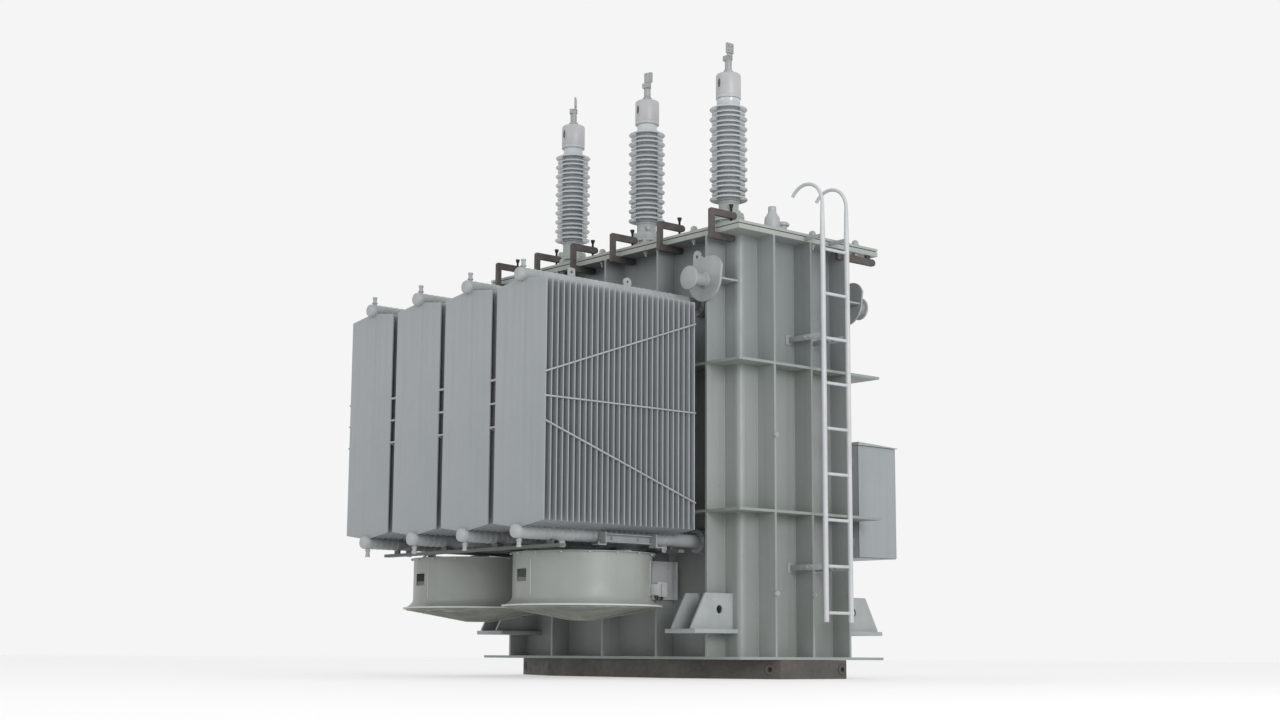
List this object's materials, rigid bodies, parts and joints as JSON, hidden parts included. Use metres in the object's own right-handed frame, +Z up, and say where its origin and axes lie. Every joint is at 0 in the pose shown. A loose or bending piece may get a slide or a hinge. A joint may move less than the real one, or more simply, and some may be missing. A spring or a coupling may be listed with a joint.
{
  "type": "power transformer",
  "caption": "Oil-filled power transformer: ribbed steel tank on a skid, plate radiators with fans below, tall bushings, ladder, control cabinet and rim clamps.",
  "frame": {"origin": "centre of the tank's base on the floor, under the skid's middle web", "axes": "+Z up, -Y towards the radiators and fans, +X towards the ladder end"},
  "size_m": [2.993, 3.283, 4.502],
  "materials": {
    "skid_paint": "matt dark brown-grey primer",
    "tank_paint": "semi-gloss light grey paint with a green tint",
    "radiator_paint": "semi-gloss light grey paint",
    "clamp_steel": "dull brown-grey forged steel",
    "black_steel": "oiled black steel",
    "bare_metal": "dull bare aluminium",
    "wire": "zinc-plated wire",
    "head_paint": "light grey cast aluminium",
    "porcelain": "glossy blue-grey glaze",
    "rubber": "dark gasket rubber",
    "copper": "paper-wrapped copper conductor",
    "core_steel": "laminated silicon steel"
  },
  "bodies": {
    "transformer": {"base_skid": "skid_paint", "tank_shell": "tank_paint", "cover_gasket": "rubber", "tank_cover": "tank_paint", "core": "core_steel", "winding_a": "copper", "winding_b": "copper", "winding_c": "copper", "jacking_bracket_1": "tank_paint", "jacking_bracket_2": "tank_paint", "jacking_bracket_3": "tank_paint", "jacking_bracket_4": "tank_paint", "lifting_trunnion_1": "tank_paint", "lifting_trunnion_2": "tank_paint", "lifting_trunnion_3": "tank_paint", "lifting_trunnion_4": "tank_paint", "radiator_1": "radiator_paint", "radiator_2": "radiator_paint", "radiator_3": "radiator_paint", "radiator_4": "radiator_paint", "fan_shroud_1": "radiator_paint", "fan_shroud_2": "radiator_paint", "fan_guard_1": "wire", "fan_guard_2": "wire", "fan_motor_1": "radiator_paint", "fan_motor_2": "radiator_paint", "fan_support_frame": "tank_paint", "bushing_turret_1": "tank_paint", "bushing_turret_2": "tank_paint", "bushing_turret_3": "tank_paint", "bushing_insulator_1": "porcelain", "bushing_insulator_2": "porcelain", "bushing_insulator_3": "porcelain", "bushing_head_1": "head_paint", "bushing_head_2": "head_paint", "bushing_head_3": "head_paint", "bushing_terminal_1": "bare_metal", "bushing_terminal_2": "bare_metal", "bushing_terminal_3": "bare_metal", "lv_bushing_1": "porcelain", "lv_bushing_2": "porcelain", "lv_bushing_3": "porcelain", "ladder": "radiator_paint", "cabinet_body": "radiator_paint", "clamp_frame_1": "clamp_steel", "clamp_frame_2": "clamp_steel", "clamp_frame_3": "clamp_steel", "clamp_frame_4": "clamp_steel", "clamp_frame_5": "clamp_steel", "clamp_frame_6": "clamp_steel"},
    "fan_1_rotor": {"fan_rotor_1": "radiator_paint"},
    "fan_2_rotor": {"fan_rotor_2": "radiator_paint"},
    "door": {"cabinet_door": "radiator_paint"},
    "handle": {"door_handle": "black_steel"},
    "clamp_1_screw": {"clamp_screw_1": "black_steel"},
    "clamp_2_screw": {"clamp_screw_2": "black_steel"},
    "clamp_3_screw": {"clamp_screw_3": "black_steel"},
    "clamp_4_screw": {"clamp_screw_4": "black_steel"},
    "clamp_5_screw": {"clamp_screw_5": "black_steel"},
    "clamp_6_screw": {"clamp_screw_6": "black_steel"}
  },
  "joints": [
    {"name": "fan_1_spin", "type": "hinge", "parent": "transformer", "child": "fan_1_rotor", "pos_m": [-0.58, -1.348, 0.62], "axis": [0, 0, 1], "continuous": true},
    {"name": "fan_2_spin", "type": "hinge", "parent": "transformer", "child": "fan_2_rotor", "pos_m": [0.58, -1.348, 0.62], "axis": [0, 0, 1], "continuous": true},
    {"name": "cabinet_door_swing", "type": "hinge", "parent": "transformer", "child": "door", "pos_m": [0.64, 1.107, 1.25], "axis": [0, 0, 1], "range_deg": [0, 110]},
    {"name": "door_handle_turn", "type": "hinge", "parent": "door", "child": "handle", "pos_m": [1.12, 1.11, 1.26], "axis": [0, 1, 0], "range_deg": [0, 90]},
    {"name": "clamp_1_screw_travel", "type": "slide", "parent": "transformer", "child": "clamp_1_screw", "axis": [0, 0, 1], "range_m": [0, 0.04]},
    {"name": "clamp_2_screw_travel", "type": "slide", "parent": "transformer", "child": "clamp_2_screw", "axis": [0, 0, 1], "range_m": [0, 0.04]},
    {"name": "clamp_3_screw_travel", "type": "slide", "parent": "transformer", "child": "clamp_3_screw", "axis": [0, 0, 1], "range_m": [0, 0.04]},
    {"name": "clamp_4_screw_travel", "type": "slide", "parent": "transformer", "child": "clamp_4_screw", "axis": [0, 0, 1], "range_m": [0, 0.04]},
    {"name": "clamp_5_screw_travel", "type": "slide", "parent": "transformer", "child": "clamp_5_screw", "axis": [0, 0, 1], "range_m": [0, 0.04]},
    {"name": "clamp_6_screw_travel", "type": "slide", "parent": "transformer", "child": "clamp_6_screw", "axis": [0, 0, 1], "range_m": [0, 0.04]}
  ]
}
